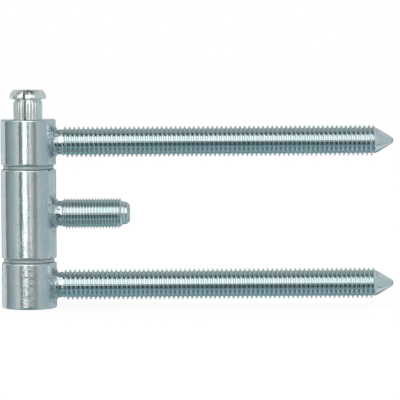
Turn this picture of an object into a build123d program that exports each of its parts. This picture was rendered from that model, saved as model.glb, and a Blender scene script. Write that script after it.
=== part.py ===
import os
from math import atan2, cos, degrees, pi, radians, sin, sqrt, tan

from build123d import *

# A three-part drill-in door hinge, in millimetres, standing as it hangs on the door. The turning
# axis is +Z, the three threaded studs point along +X, and Z = 0 is the lower eye's flat end face.

# Knuckles: the two eyes belong to the door leaf, and the barrel between them to the frame.
knuckle_d = 18.0
eye_h = 15.0
barrel_h = 29.2
rim_chamfer = 0.6
mouth_chamfer = 0.4
lower_eye_floor = 2.0

# Bearing washers, one in each joint between two knuckles.
washer_d = 16.4
washer_t = 1.2
washer_hole_clearance = 0.3

# Hinge pin. It stands proud by the length that is still to be driven in.
pin_d = 9.0
running_clearance = 0.05
pin_proud = 6.6
pin_tip_gap = 1.0
pin_tip_chamfer = 0.8
pin_tip_taper_l = 1.4
head_d = 11.8
head_h = 2.9
head_land_h = 1.2
head_crown_in = 1.2
head_neck_in = 0.1

# Knurl under the head: straight ribs on the pin's own diameter, tallest near the head. They start
# below a slightly thinner neck.
knurl_ribs = 28
knurl_tall_h = 0.25
knurl_low_h = 0.08
knurl_valley_w = 0.14
knurl_crest_w = 0.26
knurl_gap = 0.6
knurl_ramp_l = 1.1
knurl_end_margin = 4.4

# Saw slit through the head and the knurl. Its front end is turned towards the bare side.
slit_w = 0.9
slit_turn = 8.0
slit_past_knurl = 1.0

# Feet of the studs: a plain neck that is butt welded to the knuckle, with a low collar of weld.
neck_depth = 0.9
neck_l = 1.9
weld_collar_h = 0.6
weld_collar_l = 0.35

# Threads are M10, with a pitch of 1.5 on the leaf studs and of 1 on the frame stud. The solids
# have the diameter over the crests.
thread_d = 10.0

# Leaf studs end in a cone with a rounded nose, to find the hole in the door leaf.
leaf_stud_l = 110.0
point_shoulder_l = 0.8
point_angle = 60.0
point_nose_r = 1.3

# The frame stud ends in a short tapered lead-in with a blunt chamfer.
frame_stud_l = 24.0
lead_l = 2.7
lead_shoulder_l = 0.5
lead_depth = 0.9
lead_taper = 0.6
lead_end_l = 0.8
lead_end_in = 0.8

# Radii, fits and heights that follow from these sizes.
knuckle_r = knuckle_d / 2
pin_r = pin_d / 2
pin_bore_d = pin_d + 2 * running_clearance
knurl_bore_d = pin_d + 2 * (knurl_tall_h + running_clearance)
washer_hole_d = pin_d + 2 * washer_hole_clearance
thread_r = thread_d / 2
neck_r = thread_r - neck_depth

barrel_z = eye_h + washer_t
upper_eye_z = barrel_z + barrel_h + washer_t
stack_h = upper_eye_z + eye_h
lower_stud_z = eye_h / 2
frame_stud_z = barrel_z + barrel_h / 2
upper_stud_z = upper_eye_z + eye_h / 2

os.makedirs("parts", exist_ok=True)

# Knuckles: turned barrels with broken rims and the pin's bore, chamfered where the pin enters. The
# lower eye's bore is blind, and the upper eye's takes the knurl.
knuckles = {
    "upper_eye": (upper_eye_z, eye_h, knurl_bore_d, 0),
    "middle_barrel": (barrel_z, barrel_h, pin_bore_d, 0),
    "lower_eye": (0, eye_h, pin_bore_d, lower_eye_floor),
}
for name, (base_z, height, bore_d, floor) in knuckles.items():
    with BuildPart() as knuckle:
        with BuildSketch(Plane.XY.offset(base_z)):
            Circle(knuckle_r)
        extrude(amount=height)
        chamfer(knuckle.edges().filter_by(GeomType.CIRCLE), rim_chamfer)
        with BuildSketch(Plane.XY.offset(base_z + height)):
            Circle(bore_d / 2)
        extrude(amount=floor - height, mode=Mode.SUBTRACT)
        bore_edges = knuckle.edges().filter_by(GeomType.CIRCLE).group_by(SortBy.RADIUS)[0]
        chamfer(bore_edges.sort_by(Axis.Z)[-1], mouth_chamfer)
    knuckle.part.label = name
    export_step(knuckle.part, f"parts/{name}.step")

# Bearing washers: flat rings, loose on the pin.
washers = {"upper_bearing_washer": upper_eye_z - washer_t, "lower_bearing_washer": eye_h}
for name, base_z in washers.items():
    with BuildPart() as washer:
        with BuildSketch(Plane.XY.offset(base_z)):
            Circle(washer_d / 2)
            Circle(washer_hole_d / 2, mode=Mode.SUBTRACT)
        extrude(amount=washer_t)
    washer.part.label = name
    export_step(washer.part, f"parts/{name}.step")

# The two kinds of stud end, drawn as half outlines: x runs out along the stud from the hinge's
# axis, and y is the radius.
leaf_end_x = knuckle_r + leaf_stud_l
half_angle = radians(point_angle / 2)
nose_x = leaf_end_x - point_nose_r * (1 - sin(half_angle))
nose_r = point_nose_r * cos(half_angle)
cone_x = nose_x - (neck_r - nose_r) / tan(half_angle)
leaf_thread_end_x = cone_x - point_shoulder_l
with BuildSketch() as leaf_point:
    with BuildLine():
        Polyline((leaf_thread_end_x, 0), (leaf_thread_end_x, thread_r), (cone_x, neck_r), (nose_x, nose_r))
        TangentArc((nose_x, nose_r), (leaf_end_x, 0), tangent=(cos(half_angle), -sin(half_angle)))
        Line((leaf_end_x, 0), (leaf_thread_end_x, 0))
    make_face()

frame_end_x = knuckle_r + frame_stud_l
lead_x = frame_end_x - lead_l
lead_r = thread_r - lead_depth
lead_end_x = frame_end_x - lead_end_l
lead_end_r = lead_r - lead_taper
frame_thread_end_x = lead_x - lead_shoulder_l
with BuildSketch() as frame_lead_in:
    with BuildLine():
        Polyline((frame_thread_end_x, 0), (frame_thread_end_x, thread_r), (lead_x, lead_r))
        Polyline((lead_x, lead_r), (lead_end_x, lead_end_r), (frame_end_x, lead_end_r - lead_end_in))
        Polyline((frame_end_x, lead_end_r - lead_end_in), (frame_end_x, 0), (frame_thread_end_x, 0))
    make_face()

# Studs: turned from the weld collar at the foot to the end. The knuckle's barrel cuts the foot to
# a saddle.
studs = {
    "upper_leaf_stud": (upper_stud_z, leaf_thread_end_x, leaf_point.sketch),
    "frame_stud": (frame_stud_z, frame_thread_end_x, frame_lead_in.sketch),
    "lower_leaf_stud": (lower_stud_z, leaf_thread_end_x, leaf_point.sketch),
}
collar_r = neck_r + weld_collar_h
neck_x = knuckle_r + weld_collar_l
neck_end_x = knuckle_r + neck_l
thread_x = neck_end_x + neck_depth
for name, (stud_z, thread_end_x, stud_end) in studs.items():
    with BuildPart() as stud:
        with BuildSketch(Plane(origin=(0, 0, stud_z), x_dir=(1, 0, 0), z_dir=(0, -1, 0))):
            with BuildLine():
                Polyline((thread_end_x, 0), (0, 0), (0, collar_r), (neck_x, collar_r), (neck_x, neck_r))
                Polyline((neck_x, neck_r), (neck_end_x, neck_r), (thread_x, thread_r))
                Polyline((thread_x, thread_r), (thread_end_x, thread_r), (thread_end_x, 0))
            make_face()
            add(stud_end)
        revolve(axis=Axis((0, 0, stud_z), (1, 0, 0)))
        with BuildSketch(Plane.XY.offset(stud_z - knuckle_r)):
            Circle(knuckle_r)
        extrude(amount=knuckle_d, mode=Mode.SUBTRACT)
    stud.part.label = name
    export_step(stud.part, f"parts/{name}.step")

# Hinge pin: the ribbed length comes first and is trimmed to the knurl's outline, then the shaft
# and the domed head are turned around it, and the saw slit goes through both from the top. The
# head's crown is part of a sphere, whose centre is on the axis below the crown.
head_z = stack_h + pin_proud
head_top_z = head_z + head_h
head_r = head_d / 2
head_flat_r = head_r - head_crown_in
crown_z = head_z + head_land_h
crown_h = head_h - head_land_h
crown_centre_drop = (head_r**2 - head_flat_r**2 - crown_h**2) / (2 * crown_h)
crown_r = sqrt(head_r**2 + crown_centre_drop**2)
crown_foot_angle = degrees(atan2(crown_centre_drop, head_r))
crown_top_angle = degrees(atan2(crown_centre_drop + crown_h, head_flat_r))
head_neck_r = pin_r - head_neck_in
tip_z = lower_eye_floor + pin_tip_gap + pin_proud
knurl_top_z = head_z - knurl_gap
knurl_l = eye_h - knurl_gap - knurl_end_margin
knurl_end_z = knurl_top_z - knurl_l
knurl_ramp_z = knurl_top_z - knurl_ramp_l
tall_r = pin_r + knurl_tall_h
low_r = pin_r + knurl_low_h
rib_foot_r = pin_r - knurl_tall_h / 2
rib_foot_w = 2 * pi * rib_foot_r / knurl_ribs - knurl_valley_w

with BuildPart() as hinge_pin:
    with BuildSketch(Plane.XY.offset(knurl_end_z)):
        Circle(pin_r)
        with PolarLocations(0, knurl_ribs, start_angle=-90 - slit_turn + 180 / knurl_ribs):
            Polygon(
                (rib_foot_r, -rib_foot_w / 2),
                (tall_r, -knurl_crest_w / 2),
                (tall_r, knurl_crest_w / 2),
                (rib_foot_r, rib_foot_w / 2),
                align=None,
            )
    extrude(amount=knurl_l)
    with BuildSketch(Plane.XZ):
        with BuildLine():
            Polyline(
                (0, knurl_end_z),
                (low_r, knurl_end_z),
                (tall_r, knurl_ramp_z),
                (head_neck_r, knurl_top_z),
                (0, knurl_top_z),
                close=True,
            )
        make_face()
    revolve(axis=Axis.Z, mode=Mode.INTERSECT)
    with BuildSketch(Plane.XZ):
        with BuildLine():
            Polyline((0, tip_z), (pin_r - pin_tip_chamfer, tip_z), (pin_r, tip_z + pin_tip_taper_l))
            Polyline((pin_r, tip_z + pin_tip_taper_l), (pin_r, knurl_ramp_z), (head_neck_r, knurl_top_z))
            Polyline((head_neck_r, knurl_top_z), (head_neck_r, head_z), (head_r, head_z), (head_r, crown_z))
            CenterArc(
                (0, crown_z - crown_centre_drop),
                crown_r,
                start_angle=crown_foot_angle,
                arc_size=crown_top_angle - crown_foot_angle,
            )
            Polyline((head_flat_r, head_top_z), (0, head_top_z), (0, tip_z))
        make_face()
    revolve(axis=Axis.Z)
    with BuildSketch(Plane.XY.offset(head_top_z)):
        Rectangle(2 * head_d, slit_w, rotation=90 - slit_turn)
    extrude(amount=knurl_end_z - slit_past_knurl - head_top_z, mode=Mode.SUBTRACT)
hinge_pin.part.label = "hinge_pin"
export_step(hinge_pin.part, "parts/hinge_pin.step")
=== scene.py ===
from math import acos, atan2, ceil, cos, exp, pi, radians, sin, sqrt, tan

import bmesh
import bpy
from mathutils import Matrix, Vector, noise


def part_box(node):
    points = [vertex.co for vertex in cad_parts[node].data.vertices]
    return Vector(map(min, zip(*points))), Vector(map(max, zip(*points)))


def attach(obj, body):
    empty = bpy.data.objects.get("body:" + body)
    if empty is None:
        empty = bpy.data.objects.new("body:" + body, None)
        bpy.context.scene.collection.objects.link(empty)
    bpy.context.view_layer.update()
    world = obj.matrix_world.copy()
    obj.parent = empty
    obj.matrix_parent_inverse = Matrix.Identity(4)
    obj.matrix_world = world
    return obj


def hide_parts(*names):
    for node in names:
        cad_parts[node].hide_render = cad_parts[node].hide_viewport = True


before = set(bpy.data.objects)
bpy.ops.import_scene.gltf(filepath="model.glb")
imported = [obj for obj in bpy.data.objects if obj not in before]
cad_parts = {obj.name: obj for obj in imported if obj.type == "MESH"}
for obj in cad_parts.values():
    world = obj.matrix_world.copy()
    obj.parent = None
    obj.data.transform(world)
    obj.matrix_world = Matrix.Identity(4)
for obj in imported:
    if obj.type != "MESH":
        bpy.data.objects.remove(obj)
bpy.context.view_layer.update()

# Knuckles: the two eyes of the leaf parts and the barrel of the frame part between them. Each is
# turned from round steel bar, with rounded rims and a bore for the pin, and then zinc plated and
# blue passivated. The lower eye's bore is blind.
mm = 0.001
knuckle_facets = 192
rim_round = 0.62 * mm
mouth_round = 0.3 * mm
bore_end_round = 0.1 * mm
pin_bore_r = 4.55 * mm
knurl_bore_r = 4.8 * mm
lower_eye_floor = 2 * mm
corner_steps = 7
edge_support = 0.05 * mm
merge_reach = 0.0005 * mm
sharp_edge = radians(38)


def softened(corners, closed=False):
    """Points of a turned outline. A corner is (radius, height, rounding), and each rounding gets
    a point just outside either end, so that smooth shading stays inside it."""
    points = []
    for i, (radius, height, rounding) in enumerate(corners):
        here = Vector((radius, height))
        if rounding == 0 or (not closed and i in (0, len(corners) - 1)):
            points.append(here)
            continue
        to_last = (Vector(corners[i - 1][:2]) - here).normalized()
        to_next = (Vector(corners[(i + 1) % len(corners)][:2]) - here).normalized()
        half = acos(to_last.dot(to_next)) / 2
        reach = rounding / tan(half)
        centre = here + (to_last + to_next).normalized() * rounding / sin(half)
        start = here + to_last * reach - centre
        end = here + to_next * reach - centre
        sweep = start.angle(end)
        points.append(centre + start + to_last * edge_support)
        for step in range(corner_steps + 1):
            share = step / corner_steps
            spoke = start * sin((1 - share) * sweep) + end * sin(share * sweep)
            points.append(centre + spoke / sin(sweep))
        points.append(centre + end + to_next * edge_support)
    return points


def skin(form, rings, closed=False):
    """Adds faces over rings of points to a bmesh. A ring of one point is the tip of a fan."""
    rows = [[form.verts.new(point) for point in ring] for ring in rings]
    if closed:
        rows.append(rows[0])
    for row, following in zip(rows, rows[1:]):
        count = max(len(row), len(following))
        for j in range(count):
            k = (j + 1) % count
            if len(row) == 1:
                form.faces.new((row[0], following[j], following[k]))
            elif len(following) == 1:
                form.faces.new((row[j], following[0], row[k]))
            else:
                form.faces.new((row[j], following[j], following[k], row[k]))


def finished(name, form):
    """Closes a bmesh into a smooth object, with the corners that are really sharp kept sharp."""
    bmesh.ops.remove_doubles(form, verts=form.verts, dist=merge_reach)
    bmesh.ops.dissolve_degenerate(form, edges=form.edges, dist=merge_reach)
    bmesh.ops.recalc_face_normals(form, faces=form.faces)
    mesh = bpy.data.meshes.new(name)
    form.to_mesh(mesh)
    form.free()
    mesh.shade_smooth()
    mesh.set_sharp_from_angle(angle=sharp_edge)
    piece = bpy.data.objects.new(name, mesh)
    bpy.context.scene.collection.objects.link(piece)
    return piece


def turned(name, outline, facets, closed=False):
    """A solid of revolution about the pin's axis, from points of (radius, height)."""
    turns = [2 * pi * j / facets for j in range(facets)]
    rings = []
    for radius, height in outline:
        spokes = [0] if radius == 0 else turns
        rings.append([(radius * cos(turn), radius * sin(turn), height) for turn in spokes])
    form = bmesh.new()
    skin(form, rings, closed)
    return finished(name, form)


class Shade:
    """A socket of a node tree, or the bare tree, with the arithmetic that shader maths needs."""

    def __init__(self, tree, socket=None):
        self.tree = tree
        self.socket = socket

    def node(self, kind, settings=None, inputs=None, output=0):
        """Adds a node: its settings first, then the values or links of its sockets."""
        made = self.tree.nodes.new("ShaderNode" + kind)
        for name, value in (settings or {}).items():
            if name == "stops":
                for place, colour in value[2:]:
                    made.color_ramp.elements.new(place)
                for stop, (place, colour) in zip(made.color_ramp.elements, value):
                    stop.position = place
                    stop.color = (*colour, 1)
            else:
                setattr(made, name, value)
        for name, value in (inputs or {}).items():
            if isinstance(value, Shade):
                self.tree.links.new(value.socket, made.inputs[name])
            else:
                made.inputs[name].default_value = value
        return Shade(self.tree, made.outputs[output]) if made.outputs else None

    def also(self, output):
        """Another output of the same node."""
        return Shade(self.tree, self.socket.node.outputs[output])

    def math(self, operation, *values):
        return self.node("Math", {"operation": operation}, dict(enumerate(values)))

    def vector(self, operation, *values, output=0):
        return self.node("VectorMath", {"operation": operation}, dict(enumerate(values)), output)

    def mix(self, share, low, high):
        """Low where share is 0 and high where it is 1, both colours."""
        low, high = (c if isinstance(c, Shade) else (*c, 1) for c in (low, high))
        return self.node("Mix", {"data_type": "RGBA"}, {0: share, 6: low, 7: high}, output=2)

    def fade(self, value, start, end):
        """0 where value is start and 1 where it is end, with a soft change between."""
        limits = {"Value": value, "From Min": start, "From Max": end}
        return self.node("MapRange", {"interpolation_type": "SMOOTHSTEP"}, limits)

    def pattern(self, place, scale, detail):
        """Soft noise from 0 to 1. The scale is in waves to the metre."""
        return self.node("TexNoise", inputs={"Vector": place, "Scale": scale, "Detail": detail})

    def __add__(self, other):
        return self.math("ADD", self, other)

    def __sub__(self, other):
        return self.math("SUBTRACT", self, other)

    def __mul__(self, other):
        return self.math("MULTIPLY", self, other)

    def __rsub__(self, other):
        return self.math("SUBTRACT", other, self)

    __radd__ = __add__
    __rmul__ = __mul__


# The plate's patterns. A spread is where a pattern starts to show and where it shows in full.
film_scale = 110
film_spread = 0.42, 0.62
bloom_scale = 420
bloom_spread = 0.52, 0.72
bloom_cover = 0.7
swell_scale = 620
peel_scale = 3100
peel_drawn = (1, 1, 0.7)
peel_spread = 0.56, 0.70
peel_cover = 0.25
speck_scale = 3600
speck_spread = 0.62, 0.74
speck_cover = 0.35
speck_dulling = 0.06
speck_tint = (0.36, 0.40, 0.41)
gloss_drift = 0.08
pitting_power = 8


def zinc_plate(name, tints, roughness, grain, grain_height, peel_height, shade_and_stain=None):
    """Blue-passivated zinc: a thin passivated layer that drifts between three tints, an uneven gloss
    with dull specks, and a relief of fine peel and of grain, whose scale runs long along the work.
    The last argument says where painted shade, and on the studs' feet the weld's discolouration,
    change it: the mask, its tint, how far it covers the metal, how much it dulls the gloss, and how
    deep it pits the surface, which it does only where the mask is nearly full."""
    material = bpy.data.materials.new(name)
    material.use_nodes = True
    tree = material.node_tree
    tree.nodes.clear()
    zinc = Shade(tree)
    place = zinc.node("TexCoord", output=3)
    tint_overlay = zinc.pattern(place, film_scale, 3)
    bloom = zinc.pattern(place, bloom_scale, 4)
    swell = zinc.pattern(place, swell_scale, 0)
    peel = zinc.pattern(zinc.vector("MULTIPLY", place, peel_drawn), peel_scale, 1.5)
    specks = zinc.pattern(place, speck_scale, 2)
    streaks = zinc.pattern(zinc.vector("MULTIPLY", place, grain), 1, 2)
    clean, teal, violet = tints
    dull = zinc.fade(specks, *speck_spread)
    colour = zinc.mix(zinc.fade(tint_overlay, *film_spread), clean, teal)
    colour = zinc.mix(zinc.fade(bloom, *bloom_spread) * bloom_cover, colour, violet)
    colour = zinc.mix(dull * speck_cover, colour, speck_tint)
    colour = zinc.mix(zinc.fade(peel, *peel_spread) * peel_cover, colour, speck_tint)
    gloss = roughness + (bloom - 0.5) * gloss_drift + (streaks - 0.5) * gloss_drift
    gloss = gloss + dull * speck_dulling
    bare = 1.0
    relief = streaks * grain_height + peel * peel_height + swell * peel_height
    # Painted shade, and weld discolouration on the studs' feet, mixed into the plate's colour.
    if shade_and_stain:
        mask, tint, cover, dulling, pitting = shade_and_stain
        shade_and_stain_mask = mask(zinc, place)
        colour = zinc.mix(shade_and_stain_mask, colour, tint)
        gloss = gloss + shade_and_stain_mask * dulling
        if cover:
            bare = 1 - shade_and_stain_mask * cover
        if pitting:
            relief = relief + peel * zinc.math("POWER", shade_and_stain_mask, pitting_power) * pitting
    normal = zinc.node("Bump", inputs={"Height": relief, "Distance": 1.0})
    look = {"Base Color": colour, "Metallic": bare, "Roughness": gloss, "Normal": normal}
    surface = zinc.node("BsdfPrincipled", inputs=look)
    zinc.node("OutputMaterial", inputs={"Surface": surface})
    return material


def stands_in(piece, node, body, material):
    """Gives a piece its finish and puts it on its body, in the place of its plain solid."""
    piece.data.materials.append(material)
    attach(piece, body)
    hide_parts(node)


# Painted shade that a stud throws and mirrors on its knuckle round the weld, by distance from the
# stud's axis and from the pin's. It is weaker level with the stud, and on the strip of wall that is
# nearest to its collar.
stud_shade_tint = (0.28, 0.36, 0.39)
stud_shade_cover = 0.2
stud_shade_dulling = 0.28
knuckle_pitting = 0.02 * mm
stud_shade_reach = 8.4 * mm, 6.0 * mm
stud_shade_start = 5.5 * mm, 7.0 * mm
stud_shade_rise = 1.0 * mm, 3.0 * mm
level_stud_shade = 0.4
collar_strip = 7.3 * mm, 8.1 * mm
collar_lighter = 0.45
stud_shade_scale = 800
stud_shade_spread = 0.32, 0.56


def from_stud(zinc, place, stud):
    """How far a point is from the pin's axis along a stud, above the stud's axis, and from it."""
    low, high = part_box(stud)
    apart = zinc.vector("SUBTRACT", place, (0, 0, (low.z + high.z) / 2))
    along = zinc.node("SeparateXYZ", inputs={0: apart})
    above = along.also("Z")
    spoke = zinc.node("CombineXYZ", inputs={1: along.also("Y"), 2: above})
    return along, above, zinc.vector("LENGTH", spoke, output=1)


def stud_shade_by_the_weld(stud):
    """A mask for painted shade of a stud on its knuckle, above and below the foot, in patches."""

    def stud_shade_mask(zinc, place):
        along, above, away = from_stud(zinc, place, stud)
        near = zinc.fade(away, *stud_shade_reach) * zinc.fade(along, *stud_shade_start)
        level = level_stud_shade + zinc.fade(zinc.math("ABSOLUTE", above), *stud_shade_rise) * (1 - level_stud_shade)
        strip = 1 - zinc.fade(along, *collar_strip) * collar_lighter
        patches = zinc.fade(zinc.pattern(place, stud_shade_scale, 3), *stud_shade_spread)
        return near * strip * level * patches

    return stud_shade_mask


barrel_tints = (0.71, 0.76, 0.78), (0.64, 0.73, 0.74), (0.69, 0.70, 0.76)
drawn_grain = (2300, 2300, 120)
drawn_height = 0.020 * mm

# Each knuckle's body, bore, floor, stud, roughness and height of peel. The lower eye is the dullest
# of the three, and the upper eye the brightest.
knuckles = {
    "lower_eye": ("lower_leaf", pin_bore_r, lower_eye_floor, "lower_leaf_stud", 0.13, 0.034 * mm),
    "middle_barrel": ("frame_part", pin_bore_r, None, "frame_stud", 0.06, 0.022 * mm),
    "upper_eye": ("upper_leaf", knurl_bore_r, None, "upper_leaf_stud", 0.05, 0.019 * mm),
}
for node, (body, bore_r, floor, stud, roughness, peel) in knuckles.items():
    low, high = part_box(node)
    wall = [(high.x, low.z, rim_round), (high.x, high.z, rim_round), (bore_r, high.z, mouth_round)]
    if floor is None:
        outline = softened(wall + [(bore_r, low.z, bore_end_round)], closed=True)
    else:
        bore_end = [(bore_r, low.z + floor, bore_end_round), (0, low.z + floor, 0)]
        outline = softened([(0, low.z, 0)] + wall + bore_end)
    knuckle = turned(f"{node}_turned", outline, knuckle_facets, closed=floor is None)
    # The knuckle's plate carries its stud's painted shade round the weld.
    shaded_by_stud = stud_shade_by_the_weld(stud), stud_shade_tint, stud_shade_cover, stud_shade_dulling, knuckle_pitting
    zinc = zinc_plate(f"{node}_zinc", barrel_tints, roughness, drawn_grain, drawn_height, peel, shaded_by_stud)
    stands_in(knuckle, node, body, zinc)

# Bearing washers: flat rings between the knuckles, punched from strip and zinc plated to a satin
# finish. They are a little smaller than the knuckles and run loose on the pin.
washer_hole_r = 4.8 * mm
washer_round = 0.16 * mm
washer_tints = (0.62, 0.67, 0.67), (0.57, 0.64, 0.64), (0.58, 0.59, 0.62)
washer_roughness = 0.38
washer_grain = (900, 900, 900)
washer_grain_height = 0.003 * mm
washer_peel = 0.006 * mm
washer_levels = [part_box(node)[0].z for node in ("lower_bearing_washer", "upper_bearing_washer")]
washer_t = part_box("lower_bearing_washer")[1].z - washer_levels[0]

# Painted shade of the gaps at the faces, by distance from the middle of the washer's thickness.
gap_shade_tint = (0.22, 0.26, 0.26)
gap_shade_cover = 0.85
gap_shade_dulling = 0.35
gap_shade_inside = washer_t / 2 - 0.30 * mm, washer_t / 2 - 0.12 * mm
gap_shade_outside = washer_t / 2 + 0.30 * mm, washer_t / 2 + 0.10 * mm


def at_the_edges(zinc, place):
    """1 at the faces of a washer and on the edges beside them, where the shade of the gaps is painted.
    """
    height = zinc.node("SeparateXYZ", inputs={0: place}).also("Z")
    edges = None
    for level in washer_levels:
        out = zinc.math("ABSOLUTE", height - (level + washer_t / 2))
        band = zinc.fade(out, *gap_shade_inside) * zinc.fade(out, *gap_shade_outside)
        edges = band if edges is None else edges + band
    return edges


# Dark painted shade along the washers' faces, where the gaps beside the knuckles fall in shade.
gap_shaded = at_the_edges, gap_shade_tint, gap_shade_cover, gap_shade_dulling, 0.0
satin_zinc = zinc_plate(
    "satin_zinc",
    washer_tints,
    washer_roughness,
    washer_grain,
    washer_grain_height,
    washer_peel,
    gap_shaded,
)
for node, body in (("lower_bearing_washer", "lower_leaf"), ("upper_bearing_washer", "frame_part")):
    low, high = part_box(node)
    corners = [(washer_hole_r, low.z), (high.x, low.z), (high.x, high.z), (washer_hole_r, high.z)]
    outline = softened([(*corner, washer_round) for corner in corners], closed=True)
    washer = turned(f"{node}_punched", outline, knuckle_facets, closed=True)
    stands_in(washer, node, body, satin_zinc)

# Studs: rolled metric threads, M10 x 1.5 on the long leaf studs and M10 x 1 on the short frame stud,
# right-handed. The foot is resistance welded to the knuckle, which leaves a low collar of uneven weld.
# They are plated with the knuckles; the roots of the threads stay duller, and the roots and the tip
# carry painted shade.
stud_facets = 72
knuckle_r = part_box("middle_barrel")[1].x
neck_r = 4.1 * mm
neck_end_x = 10.9 * mm
thread_start_x = 11.8 * mm
thread_crest_r = 5 * mm
run_out = 0.28 * mm
crest_flat = 1 / 8
flank_angle = radians(30)
corner_run = 0.018

# The collar of weld and the neck, in rings. The first two numbers are a ring's place out along the
# stud and its radius at the top and bottom, and the others are the same in front and behind, where
# the knuckle's wall curves away and the collar is wider. The lumps lose a third of their height on
# the way to the neck. Behind the first ring the foot sinks into the wall, and its core stops short
# of the bore.
foot_core_x = 6.5 * mm
foot_sunk = 0.15 * mm
lump_height = 0.34 * mm
lump_scale = 1300
lump_loss = 1 / 3
spatter_height = 0.15 * mm
spatter_scale = 3100
foot_rings_in_mm = [
    (9.05, 4.60, 7.30, 5.30),
    (9.18, 4.64, 7.46, 5.36),
    (9.30, 4.58, 7.66, 5.30),
    (9.40, 4.42, 7.84, 5.08),
    (9.48, 4.22, 8.00, 4.76),
    (9.56, 4.08, 8.16, 4.48),
    (9.68, 4.00, 8.36, 4.32),
    (9.84, 3.98, 8.62, 4.18),
    (10.00, 4.02, 8.95, 4.12),
    (10.20, 4.06, 9.35, 4.08),
    (10.40, 4.04, 9.80, 4.06),
    (10.60, 4.06, 10.25, 4.06),
    (10.75, 4.08, 10.60, 4.08),
]
foot_rings = [[size * mm for size in ring] for ring in foot_rings_in_mm]


def thread_form(pitch, depth):
    """Share of the pitch and share of the thread's height, from one crest to the next. Every corner
    is a narrow bevel with a point close to either side, so that the flanks and flats shade flat."""
    crest_end = crest_flat / 2
    root_start = crest_end + depth * tan(flank_angle) / pitch

    def flank(share):
        return share, (root_start - share) / (root_start - crest_end)

    to_root = [
        (0, 1),
        (crest_end - 2 * corner_run, 1),
        (crest_end - corner_run, 1),
        flank(crest_end + corner_run),
        flank(crest_end + 2 * corner_run),
        flank(root_start - 2 * corner_run),
        flank(root_start - corner_run),
        (root_start + corner_run, 0),
        (root_start + 2 * corner_run, 0),
        (0.5, 0),
    ]
    return to_root + [(1 - share, height) for share, height in to_root[-2:0:-1]]


def rolled_stud(name, axis_z, pitch, depth, crest_x, thread_end_x, lead_x, end_outline):
    """One stud along +X, as a single closed skin from its welded foot to its end. crest_x is
    where a crest passes the top of the stud, and end_outline has points of (x, radius). From
    thread_end_x to lead_x the thread comes down to the neck's radius, and from there to the first
    of those points it runs out over the lead-in."""
    turns = [pi / 2 + 2 * pi * j / stud_facets for j in range(stud_facets)]
    root_r = thread_crest_r - depth
    neck_step = thread_crest_r - neck_r
    last_x, last_r = end_outline[0]

    def at(x, radius, turn):
        return x, radius * cos(turn), axis_z + radius * sin(turn)

    def wall(radius, turn):
        """Where the knuckle's wall is, under this point of the foot."""
        return sqrt(knuckle_r ** 2 - (radius * cos(turn)) ** 2)

    form = bmesh.new()
    _, side_r, _, front_r = foot_rings[0]
    first = [side_r + (front_r - side_r) * cos(turn) ** 2 for turn in turns]
    rows = [[at(foot_core_x, 0, 0)]]
    rows.append([at(wall(r, turn) - foot_sunk, r, turn) for r, turn in zip(first, turns)])
    for i, (side_x, side_r, front_x, front_r) in enumerate(foot_rings):
        row = []
        for turn in turns:
            x = side_x + (front_x - side_x) * cos(turn) ** 2
            plain_r = side_r + (front_r - side_r) * cos(turn) ** 2
            here = Vector(at(x, plain_r, turn))
            lumps = lump_height * noise.noise(here * lump_scale)
            lumps += spatter_height * noise.noise(here * spatter_scale)
            row.append(at(x, plain_r + lumps * (1 - i / len(foot_rings) * lump_loss), turn))
        rows.append(row)
    rows.append([at(neck_end_x - edge_support, neck_r, turn) for turn in turns])
    rows.append([at(neck_end_x, neck_r, turn) for turn in turns])
    skin(form, rows)

    # The thread's own rows run round the helix: each column of points starts a little further on
    # than the last, and after a full turn it meets the row one pitch on.
    profile = thread_form(pitch, depth)
    per_pitch = len(profile)
    first_x = crest_x - pitch * (ceil((crest_x - neck_end_x) / pitch) + 2)
    row_count = per_pitch * (ceil((last_x - first_x) / pitch) + 2)
    grid = []
    for row in range(row_count):
        share, height = profile[row % per_pitch]
        line = []
        for j, turn in enumerate(turns):
            x = first_x + pitch * (row // per_pitch + share + j / stud_facets)
            x = min(max(x, neck_end_x), last_x)
            start_cap = neck_r + (x - neck_end_x) * neck_step / (thread_start_x - neck_end_x)
            end_cap = neck_r + (lead_x - x) * neck_step / (lead_x - thread_end_x)
            if x > lead_x:
                still_to_go = (last_x - x) / (last_x - lead_x)
                end_cap = last_r + (neck_r - last_r - run_out * (1 - height)) * still_to_go
            radius = min(root_r + depth * height, start_cap, end_cap)
            line.append(form.verts.new(at(x, radius, turn)))
        grid.append(line)
    for row in range(row_count - 1):
        for j in range(stud_facets):
            if j < stud_facets - 1:
                right, far_right = grid[row][j + 1], grid[row + 1][j + 1]
            elif row + 1 + per_pitch < row_count:
                right, far_right = grid[row + per_pitch][0], grid[row + 1 + per_pitch][0]
            else:
                continue
            form.faces.new((grid[row][j], right, far_right, grid[row + 1][j]))

    ends = [[at(x, radius, turn) for turn in (turns if radius else [0])] for x, radius in end_outline]
    skin(form, ends)
    return finished(name, form)


thread_tints = (0.81, 0.87, 0.89), (0.77, 0.87, 0.87), (0.80, 0.83, 0.88)
rolled_grain = (3200, 700, 700)
rolled_height = 0.0015 * mm

# Painted shade in the roots of the thread and at the tip, with the weld's discolouration on the foot:
# how strong the shade is, and in the roots the two shares of the thread's depth that it fades between,
# measured up from the bottom.
thread_shade_and_weld_tint = (0.54, 0.62, 0.64)
root_tip_foot_dulling = 0.07
weld_pitting = 0.12 * mm
root_shade = 0.65
root_fade = 0.30, 0.04
root_shade_end = 0.3 * mm
tip_shade = 0.85
tip_fade = 0.9 * mm, 0.3 * mm
foot_fade = thread_start_x, neck_end_x - 0.5 * mm


def from_pin_axis(zinc, place):
    """How far a point is from the pin's axis."""
    return zinc.vector("LENGTH", zinc.vector("MULTIPLY", place, (1, 1, 0)), output=1)


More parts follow.
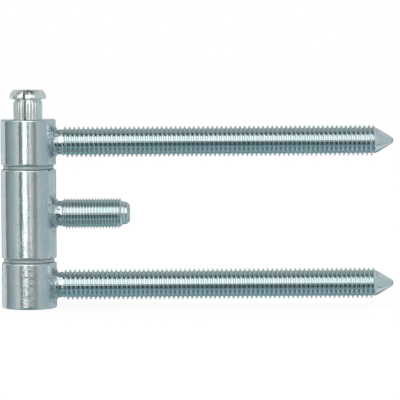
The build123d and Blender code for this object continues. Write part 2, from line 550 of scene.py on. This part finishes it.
def on_the_stud(stud, depth, lead_x):
    """A mask for painted shade in the roots of the thread and at the tip, and for weld discolouration
    on the pitted foot.
    """
    root_r = thread_crest_r - depth
    tip_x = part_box(stud)[1].x

    def tint_overlay(zinc, place):
        along, _, away = from_stud(zinc, place, stud)
        root = zinc.fade(away, *(root_r + share * depth for share in root_fade))
        root = root * zinc.fade(along, neck_end_x, thread_start_x) * root_shade
        root = root * zinc.fade(along, lead_x, lead_x - root_shade_end)
        tip = zinc.fade(along, *(tip_x - back for back in tip_fade)) * tip_shade
        foot = zinc.fade(from_pin_axis(zinc, place), *foot_fade)
        return zinc.math("MAXIMUM", zinc.math("MAXIMUM", root, tip), foot)

    return tint_overlay


# The leaf studs' cone, with a slight swelling just past its shoulder, and its round nose.
leaf_tip_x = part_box("upper_leaf_stud")[1].x
leaf_cone_x = 113.2 * mm
cone_lean = radians(30)
cone_swell = 0.12 * mm
cone_swell_at = 1.1 * mm
nose_r = 1.3 * mm
nose_steps = 6
nose_x = leaf_tip_x - nose_r
cone_places_in_mm = (0, 0.1, 0.3, 0.6, 1.0, 1.5, 2.1, 2.8)
leaf_end = []
for along in cone_places_in_mm:
    back = along * mm
    swell = cone_swell * back / cone_swell_at * exp(1 - back / cone_swell_at)
    leaf_end.append((leaf_cone_x + back, neck_r - back * tan(cone_lean) + swell))
for i in range(nose_steps + 1):
    lean = (pi / 2 - cone_lean) * (1 - i / nose_steps)
    leaf_end.append((nose_x + nose_r * cos(lean), nose_r * sin(lean)))

# The frame stud's lead-in: a short taper and a blunt chamfer, as (radius, x, rounding).
frame_tip_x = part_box("frame_stud")[1].x
frame_lead_x = 30.3 * mm
lead_corners = [
    (3.563 * mm, 32.0 * mm, 0),
    (3.5 * mm, 32.2 * mm, 0.5 * mm),
    (2.7 * mm, frame_tip_x, 0.3 * mm),
    (0, frame_tip_x, 0),
]
frame_end = [(x, radius) for radius, x in softened(lead_corners)]

# Each stud's body, pitch, depth of thread, place of a crest and end of the full thread, these four
# in millimetres, then where the thread is down to the neck, the stud's end and its roughness.
studs = {
    "upper_leaf_stud": ("upper_leaf", 1.5, 0.9, 12.04, 112.4, leaf_cone_x, leaf_end, 0.045),
    "frame_stud": ("frame_part", 1.0, 0.61, 11.78, 29.8, frame_lead_x, frame_end, 0.09),
    "lower_leaf_stud": ("lower_leaf", 1.5, 0.9, 11.87, 112.4, leaf_cone_x, leaf_end, 0.045),
}
for node, (body, pitch, depth, crest_x, thread_end_x, lead_x, end_outline, roughness) in studs.items():
    low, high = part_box(node)
    stud = rolled_stud(
        f"{node}_rolled",
        (low.z + high.z) / 2,
        pitch * mm,
        depth * mm,
        crest_x * mm,
        thread_end_x * mm,
        lead_x,
        end_outline,
    )
    # The studs' plate carries painted shade in the roots of the thread and at the tip.
    zinc = zinc_plate(
        f"{node}_zinc",
        thread_tints,
        roughness,
        rolled_grain,
        rolled_height,
        rolled_height,
        (on_the_stud(node, depth * mm, lead_x), thread_shade_and_weld_tint, 0.0, root_tip_foot_dulling, weld_pitting),
    )
    stands_in(stud, node, body, zinc)

# Hinge pin: a headed steel pin, rolled with 28 straight knurl ribs under its domed head and sawn
# down the middle, so that the knurl springs and holds when it is driven into the upper eye. The
# head then stops just above the eye.
pin_low, pin_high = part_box("hinge_pin")
pin_r = 4.5 * mm
pin_tip_chamfer = 0.8 * mm
pin_tip_taper = 1.4 * mm
head_z = 68.21 * mm
head_r = pin_high.x
head_land = 1.2 * mm
head_flat_r = 4.7 * mm
head_edge_round = 0.12 * mm
head_neck_r = 4.4 * mm
crown_steps = 10
knurl_ribs = 28
knurl_low_z = 57.6 * mm
knurl_high_z = 67.6 * mm
knurl_start = 0.3 * mm
knurl_ramp = 1.1 * mm
knurl_low_r = 4.58 * mm
knurl_high_r = 4.75 * mm
rib_foot_w = 0.65 * mm
slit_w = 0.9 * mm
slit_z = 56.6 * mm
slit_turn = radians(8)
sawn_edge = radians(30)

# A rib's outline: how far out to the side, as a share of its foot's half width, and how high.
rib_outline = [(1.0, 0.0), (0.80, 0.30), (0.60, 0.63), (0.40, 0.88), (0.20, 0.98)]
rib_pitch = 2 * pi / knurl_ribs
first_rib = -pi / 2 - slit_turn + rib_pitch / 2
half_foot_turn = rib_foot_w / 2 / pin_r
left_side = []
for side, high in rib_outline:
    left_side.append((-side * half_foot_turn, pin_r + high * (knurl_high_r - pin_r)))
right_side = [(-turn, r) for turn, r in reversed(left_side)]
rib_form = [(-rib_pitch / 2, pin_r), *left_side, (0, knurl_high_r), *right_side]
columns = [(first_rib + i * rib_pitch + turn, r) for i in range(knurl_ribs) for turn, r in rib_form]

# The crown is part of a sphere, whose centre is on the axis below the crown.
crown_z = head_z + head_land
crown_h = pin_high.z - crown_z
crown_drop = (head_r ** 2 - head_flat_r ** 2 - crown_h ** 2) / (2 * crown_h)
crown_r = sqrt(head_r ** 2 + crown_drop ** 2)
crown_foot = atan2(crown_drop, head_r)
crown_top = atan2(crown_drop + crown_h, head_flat_r)
neck_rise = knurl_ramp * (pin_r - head_neck_r) / (knurl_high_r - head_neck_r)
shaft_rings = [
    (pin_low.z, 0),
    (pin_low.z, pin_r - pin_tip_chamfer),
    (pin_low.z + pin_tip_taper, pin_r),
    (pin_low.z + pin_tip_taper + edge_support, pin_r),
    (knurl_low_z, pin_r),
    (knurl_low_z + knurl_start, knurl_low_r),
    (knurl_high_z - knurl_ramp, knurl_high_r),
    (knurl_high_z - neck_rise, pin_r),
    (knurl_high_z, head_neck_r),
    (head_z, head_neck_r),
]
head_corners = [(head_neck_r, head_z, 0), (head_r, head_z, head_edge_round), (head_r, crown_z, 0)]
head_rings = [(height, radius) for radius, height in softened(head_corners)[1:]]
for i in range(crown_steps + 1):
    lean = crown_foot + (crown_top - crown_foot) * i / crown_steps
    head_rings.append((crown_z - crown_drop + crown_r * sin(lean), crown_r * cos(lean)))
head_rings.append((pin_high.z, 0))

rings = []
for height, radius in shaft_rings + head_rings:
    if radius == 0:
        rings.append([(0, 0, height)])
    elif knurl_low_z <= height < knurl_high_z:
        rings.append([(min(r, radius) * cos(t), min(r, radius) * sin(t), height) for t, r in columns])
    else:
        rings.append([(radius * cos(t), radius * sin(t), height) for t, r in columns])
pin_form = bmesh.new()
skin(pin_form, rings)
pin = finished("hinge_pin_headed", pin_form)

# The saw runs right across, from above the head down to the end of the slit.
saw_top = pin_high.z + head_land
saw_l = 4 * head_r
saw_cut = bmesh.new()
saw_size = Matrix.Diagonal((slit_w, saw_l, saw_top - slit_z, 1))
saw_place = Matrix.Translation((0, 0, (saw_top + slit_z) / 2)) @ Matrix.Rotation(-slit_turn, 4, "Z")
bmesh.ops.create_cube(saw_cut, size=1, matrix=saw_place @ saw_size)
saw = finished("saw_cut", saw_cut)
sawing = pin.modifiers.new("sawn slit", "BOOLEAN")
sawing.operation = "DIFFERENCE"
sawing.solver = "EXACT"
sawing.object = saw
sawn = bpy.data.meshes.new_from_object(pin.evaluated_get(bpy.context.evaluated_depsgraph_get()))
pin.modifiers.clear()
pin.data = sawn
bpy.data.objects.remove(saw)
sawn.shade_smooth()
sawn.set_sharp_from_angle(angle=sawn_edge)

pin_tints = (0.95, 0.97, 0.96), (0.89, 0.94, 0.92), (0.92, 0.91, 0.95)
pin_roughness = 0.18
pin_grain = (300, 300, 2500)
pin_grain_height = 0.002 * mm
pin_peel = 0.006 * mm

# Painted shade in the slit, in the knurl's valleys and right under the head. Each pair is where it
# starts to show and where it is full.
recess_shade_tint = (0.46, 0.52, 0.50)
recess_shade_dulling = 0.04
slit_normal = (cos(slit_turn), -sin(slit_turn), 0)
slit_shade = slit_w / 2 + 0.03 * mm, slit_w / 2 + 0.01 * mm
valley_shade = pin_r + 0.12 * mm, pin_r + 0.02 * mm
valley_start = knurl_low_z, knurl_low_z + knurl_start
valley_end = head_z + 0.16 * mm, head_z + 0.10 * mm
valley_share = 0.45
seat_shade = 0.14 * mm, 0.06 * mm


def in_the_recesses(zinc, place):
    """1 in the plane of the saw slit and right under the head, and less in the valleys of the
    knurl and on the neck above them."""
    across = zinc.math("ABSOLUTE", zinc.vector("DOT_PRODUCT", place, slit_normal, output=1))
    slit = zinc.fade(across, *slit_shade)
    height = zinc.node("SeparateXYZ", inputs={0: place}).also("Z")
    valley = zinc.fade(from_pin_axis(zinc, place), *valley_shade)
    valley = valley * zinc.fade(height, *valley_start) * zinc.fade(height, *valley_end)
    under_head = zinc.fade(zinc.math("ABSOLUTE", height - head_z), *seat_shade)
    return zinc.math("MAXIMUM", slit, zinc.math("MAXIMUM", valley * valley_share, under_head))


# Painted shade in the pin's slit, in its knurl and under its head.
recess_shaded = in_the_recesses, recess_shade_tint, 0.0, recess_shade_dulling, 0.0
pin_zinc = zinc_plate(
    "pin_zinc",
    pin_tints,
    pin_roughness,
    pin_grain,
    pin_grain_height,
    pin_peel,
    recess_shaded,
)
stands_in(pin, "hinge_pin", "pin", pin_zinc)

# Floor: a pale sheet that runs on into the white behind. The camera sees it nearly white, and the
# hinge's soft shadow stays on it.
floor_half = 8.0
floor_tint = (0.97, 0.97, 0.97, 1)
floor_glow = 0.88
white = (1, 1, 1, 1)
floor_form = bmesh.new()
bmesh.ops.create_grid(floor_form, x_segments=1, y_segments=1, size=floor_half)
studio_floor = finished("studio_floor", floor_form)
floor_material = bpy.data.materials.new("pale_floor")
floor_material.use_nodes = True
floor_material.node_tree.nodes.clear()
paint = Shade(floor_material.node_tree)
matt = paint.node("BsdfDiffuse", inputs={"Color": floor_tint})
glow = paint.node("Emission", inputs={"Color": white, "Strength": 1.0})
seen = paint.node("LightPath", output=0)
shown = paint.node("MixShader", inputs={0: seen * floor_glow, 1: matt, 2: glow})
paint.node("OutputMaterial", inputs={"Surface": shown})
studio_floor.data.materials.append(floor_material)
studio_floor.visible_glossy = False

# Studio surround: a tent of grey cloth round the set, seen only as reflections in the metal. White
# panels and softboxes hang in front and behind, and dark flags beside them draw the dark lines on
# the bright plate.
tent_r = 4.0
tent_form = bmesh.new()
bmesh.ops.create_uvsphere(tent_form, u_segments=48, v_segments=24, radius=tent_r)
tent = finished("studio_surround", tent_form)
tent_material = bpy.data.materials.new("tent_cloth")
tent_material.use_nodes = True
tent_material.node_tree.nodes.clear()
cloth = Shade(tent_material.node_tree)

# Two ways to say where a point of the tent is, both in degrees from the front: round and up, or
# over the top and to the side that the studs point to.
direction = cloth.vector("NORMALIZE", cloth.node("TexCoord", output=3))
sideways = cloth.node("SeparateXYZ", inputs={0: direction})
upward = sideways.also("Z")
forward = 0 - sideways.also("Y")
in_degrees = 180 / pi
round_angle = cloth.math("ARCTAN2", sideways, forward) * in_degrees
up_angle = cloth.math("ARCSINE", upward) * in_degrees
tilt_angle = cloth.math("ARCTAN2", upward, forward) * in_degrees
side_angle = cloth.math("ARCSINE", sideways) * in_degrees

# The walls' grey, by degrees round from the front to the studs' side.
wall_greys = [
    (-180, (0.66, 0.72, 0.71)),
    (-120, (0.73, 0.80, 0.79)),
    (-110, (0.72, 0.79, 0.78)),
    (-107.5, (0.45, 0.51, 0.51)),
    (-105.5, (0.14, 0.18, 0.18)),
    (-102.5, (0.17, 0.21, 0.21)),
    (-99.5, (0.26, 0.31, 0.31)),
    (-96.5, (0.24, 0.29, 0.29)),
    (-92, (0.29, 0.34, 0.35)),
    (-62, (0.45, 0.52, 0.53)),
    (-41, (0.71, 0.77, 0.75)),
    (4, (0.65, 0.66, 0.65)),
    (8, (0.90, 0.92, 0.89)),
    (12, (0.90, 0.91, 0.87)),
    (18, (0.58, 0.60, 0.56)),
    (24, (0.38, 0.40, 0.37)),
    (34, (0.28, 0.31, 0.29)),
    (41, (0.56, 0.61, 0.61)),
    (60, (0.47, 0.55, 0.57)),
    (90, (0.44, 0.52, 0.55)),
    (106, (0.53, 0.63, 0.65)),
    (128, (0.51, 0.59, 0.60)),
    (180, (0.66, 0.72, 0.71)),
]
stops = [((angle + 180) / 360, grey) for angle, grey in wall_greys]
walls = cloth.node("ValToRGB", {"stops": stops}, {0: (round_angle + 180) * (1 / 360)})


def window(angle, low, high, soft):
    """1 between two angles, with edges that fade over soft degrees to either side."""
    return cloth.fade(angle, low - soft, low + soft) * cloth.fade(angle, high + soft, high - soft)


def panel(left, right, bottom, top, soft):
    """1 inside an upright panel, given by its edges round from the front and up."""
    return window(round_angle, left, right, soft) * window(up_angle, bottom, top, soft)


def strip(first, last, left, right, soft):
    """1 inside a strip that lies along the studs, given by its edges over the top and sideways."""
    return window(tilt_angle, first, last, soft) * window(side_angle, left, right, soft)


# What hangs in the tent, each laid over those before it: where it is, and its brightness.
hangings = [
    # The tent's ceiling and its lower part.
    (cloth.fade(up_angle, 44, 60), (0.38, 0.42, 0.42)),
    (cloth.fade(up_angle, -18, -32), (0.40, 0.49, 0.51)),
    # Cloths below, low in front, low behind and high behind, along the studs.
    (strip(-146, -34, -30, 30, 4), (0.17, 0.26, 0.28)),
    (strip(-60, -40, -30, 30, 3), (0.30, 0.42, 0.46)),
    (strip(-130, -98, -30, 30, 4), (0.29, 0.43, 0.48)),
    (strip(112, 172, -50, 50, 4), (0.36, 0.43, 0.41)),
    # Behind the hinge: two grey cloths, and a softbox between two flags.
    (panel(92, 154, 10, 44, 2), (0.55, 0.58, 0.58)),
    (panel(-154, -92, 10, 44, 2), (0.55, 0.58, 0.58)),
    (panel(-176, -160, -26, 3, 2), (1.2, 1.2, 1.2)),
    (panel(-157, -150, -26, 3, 1.5), (0.16, 0.18, 0.18)),
    (panel(158, 168, -26, 3, 1.5), (0.16, 0.18, 0.18)),
    # White panels above the front, and a dark flag up on their right.
    (panel(-66, 30, 8, 70, 3), (1.05, 1.05, 1.03)),
    (panel(32, 78, 60, 85, 3), (0.07, 0.06, 0.07)),
    (panel(28, 46, 8, 34, 3), (1.05, 1.05, 1.03)),
    # Low on the studs' side: a grey flag and a pale panel, seen in the lower half of the points.
    (panel(60, 76, -33, -28, 1.5), (0.25, 0.28, 0.30)),
    (panel(68, 118, -62, -38, 3), (0.66, 0.67, 0.70)),
    # Flags left of the front, above it and below it.
    (panel(-36.5, -22.5, -14, 10, 0.8), (0.23, 0.26, 0.26)),
    (strip(53, 88, -6, 6, 1.5), (0.03, 0.075, 0.075)),
    (strip(-36, -6.8, -20, 20, 0.6), (0.13, 0.16, 0.16)),
    (strip(-36, -6.8, -9, 10, 0.6), (0.015, 0.045, 0.05)),
    # The white panel that draws the bright band on the knuckles, with a thin line beside it.
    (panel(-20.5, -1.4, -6.6, 10, 0.6), (1.45, 1.45, 1.45)),
    (panel(-0.2, 3.4, -6.6, 0.5, 0.5), (0.27, 0.28, 0.28)),
    # The front softbox over the studs, with a dark line under it.
    (strip(0.5, 5.5, -5, 6, 0.6), (0.12, 0.14, 0.14)),
    (strip(5.5, 53, -22, 18, 0.8), (1.55, 1.55, 1.55)),
]
surround = walls
for mask, brightness in hangings:
    surround = cloth.mix(mask, surround, brightness)
glowing = cloth.node("Emission", inputs={"Color": surround, "Strength": 1.0})
cloth.node("OutputMaterial", inputs={"Surface": glowing})
tent_material.cycles.emission_sampling = "NONE"
tent.data.materials.append(tent_material)
tent.visible_camera = False
tent.visible_diffuse = False
tent.visible_shadow = False

# Light: a white room, which lights the floor evenly, and one soft lamp above, which gives the
# hinge its faint shadow.
room = bpy.data.worlds.new("white_room")
room.use_nodes = True
room.node_tree.nodes.clear()
air = Shade(room.node_tree)
background = air.node("Background", inputs={"Color": white, "Strength": 1.0})
air.node("OutputWorld", inputs={"Surface": background})
bpy.context.scene.world = room

lamp_size = 1.2
lamp_energy = 5.0
lamp_place = Vector((-0.5, -0.9, 1.6))
lamp_light = bpy.data.lights.new("top_lamp", "AREA")
lamp_light.shape = "SQUARE"
lamp_light.size = lamp_size
lamp_light.energy = lamp_energy
lamp = bpy.data.objects.new("top_lamp", lamp_light)
lamp.location = lamp_place
lamp.rotation_mode = "QUATERNION"
lamp.rotation_quaternion = lamp_place.to_track_quat("Z", "Y")
lamp.visible_camera = False
lamp.visible_glossy = False
bpy.context.scene.collection.objects.link(lamp)

# Camera: a long lens straight from the front and a little above, rolled slightly, as the
# photograph was taken. The lens is given for a picture 400 pixels wide.
view_elevation = radians(3.52)
view_roll = radians(-0.298)
view_distance = 0.9
view_target = Vector((55.89, 0, 34.92)) * mm
sensor_w = 36
lens_per_frame_width = 2759 / 400
nearest_seen = 0.01
farthest_seen = 100
camera_data = bpy.data.cameras.new("camera")
camera_data.sensor_width = sensor_w
camera_data.lens = sensor_w * lens_per_frame_width
camera_data.clip_start = nearest_seen
camera_data.clip_end = farthest_seen
camera = bpy.data.objects.new("camera", camera_data)
back = Vector((0, -cos(view_elevation), sin(view_elevation)))
camera.location = view_target + back * view_distance
camera.rotation_mode = "QUATERNION"
level_view = (-back).to_track_quat("-Z", "Y")
camera.rotation_quaternion = level_view @ Matrix.Rotation(view_roll, 4, "Z").to_quaternion()
bpy.context.scene.collection.objects.link(camera)
bpy.context.scene.camera = camera
bpy.context.scene.view_settings.view_transform = "Standard"
